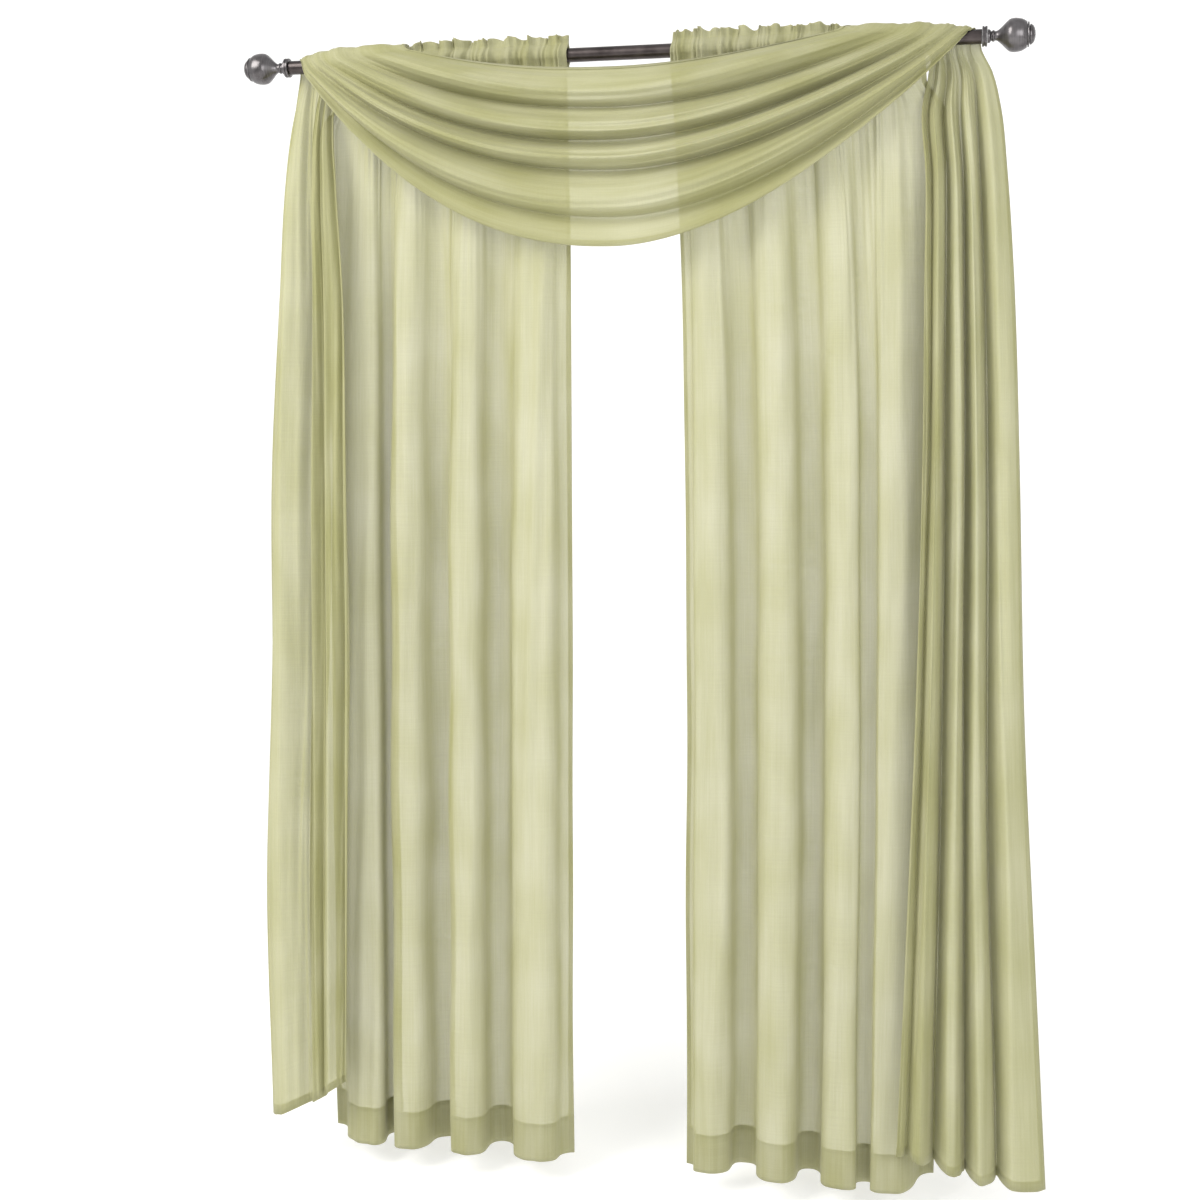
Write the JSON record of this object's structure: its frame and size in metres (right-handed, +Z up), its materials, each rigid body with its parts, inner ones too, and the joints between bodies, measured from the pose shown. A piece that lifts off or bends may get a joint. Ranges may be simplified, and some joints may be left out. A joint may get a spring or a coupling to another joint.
{
  "type": "pair of sheer curtains on a rod",
  "caption": "Gathered sheer voile panels and a pleated scarf valance with long tails, hung on a round metal curtain rod with ball finials.",
  "frame": {"origin": "middle of the rod's axis", "axes": "+Z up, X along the rod with +X to the viewer's right, -Y towards the room"},
  "size_m": [1.5388, 0.1681, 2.1366],
  "materials": {
    "rod_metal": "dark bronze, satin",
    "collar_metal": "dark pewter, satin",
    "finial_metal": "antique pewter, satin with brushed highlights",
    "panel_voile": "plain sheer voile, sage green",
    "scarf_voile": "plain sheer voile, sage green"
  },
  "bodies": {
    "root": {"rod": "rod_metal", "collar_left": "collar_metal", "collar_right": "collar_metal", "finial_left": "finial_metal", "finial_right": "finial_metal", "panel_left": "panel_voile", "panel_right": "panel_voile", "scarf": "scarf_voile"}
  },
  "joints": []
}
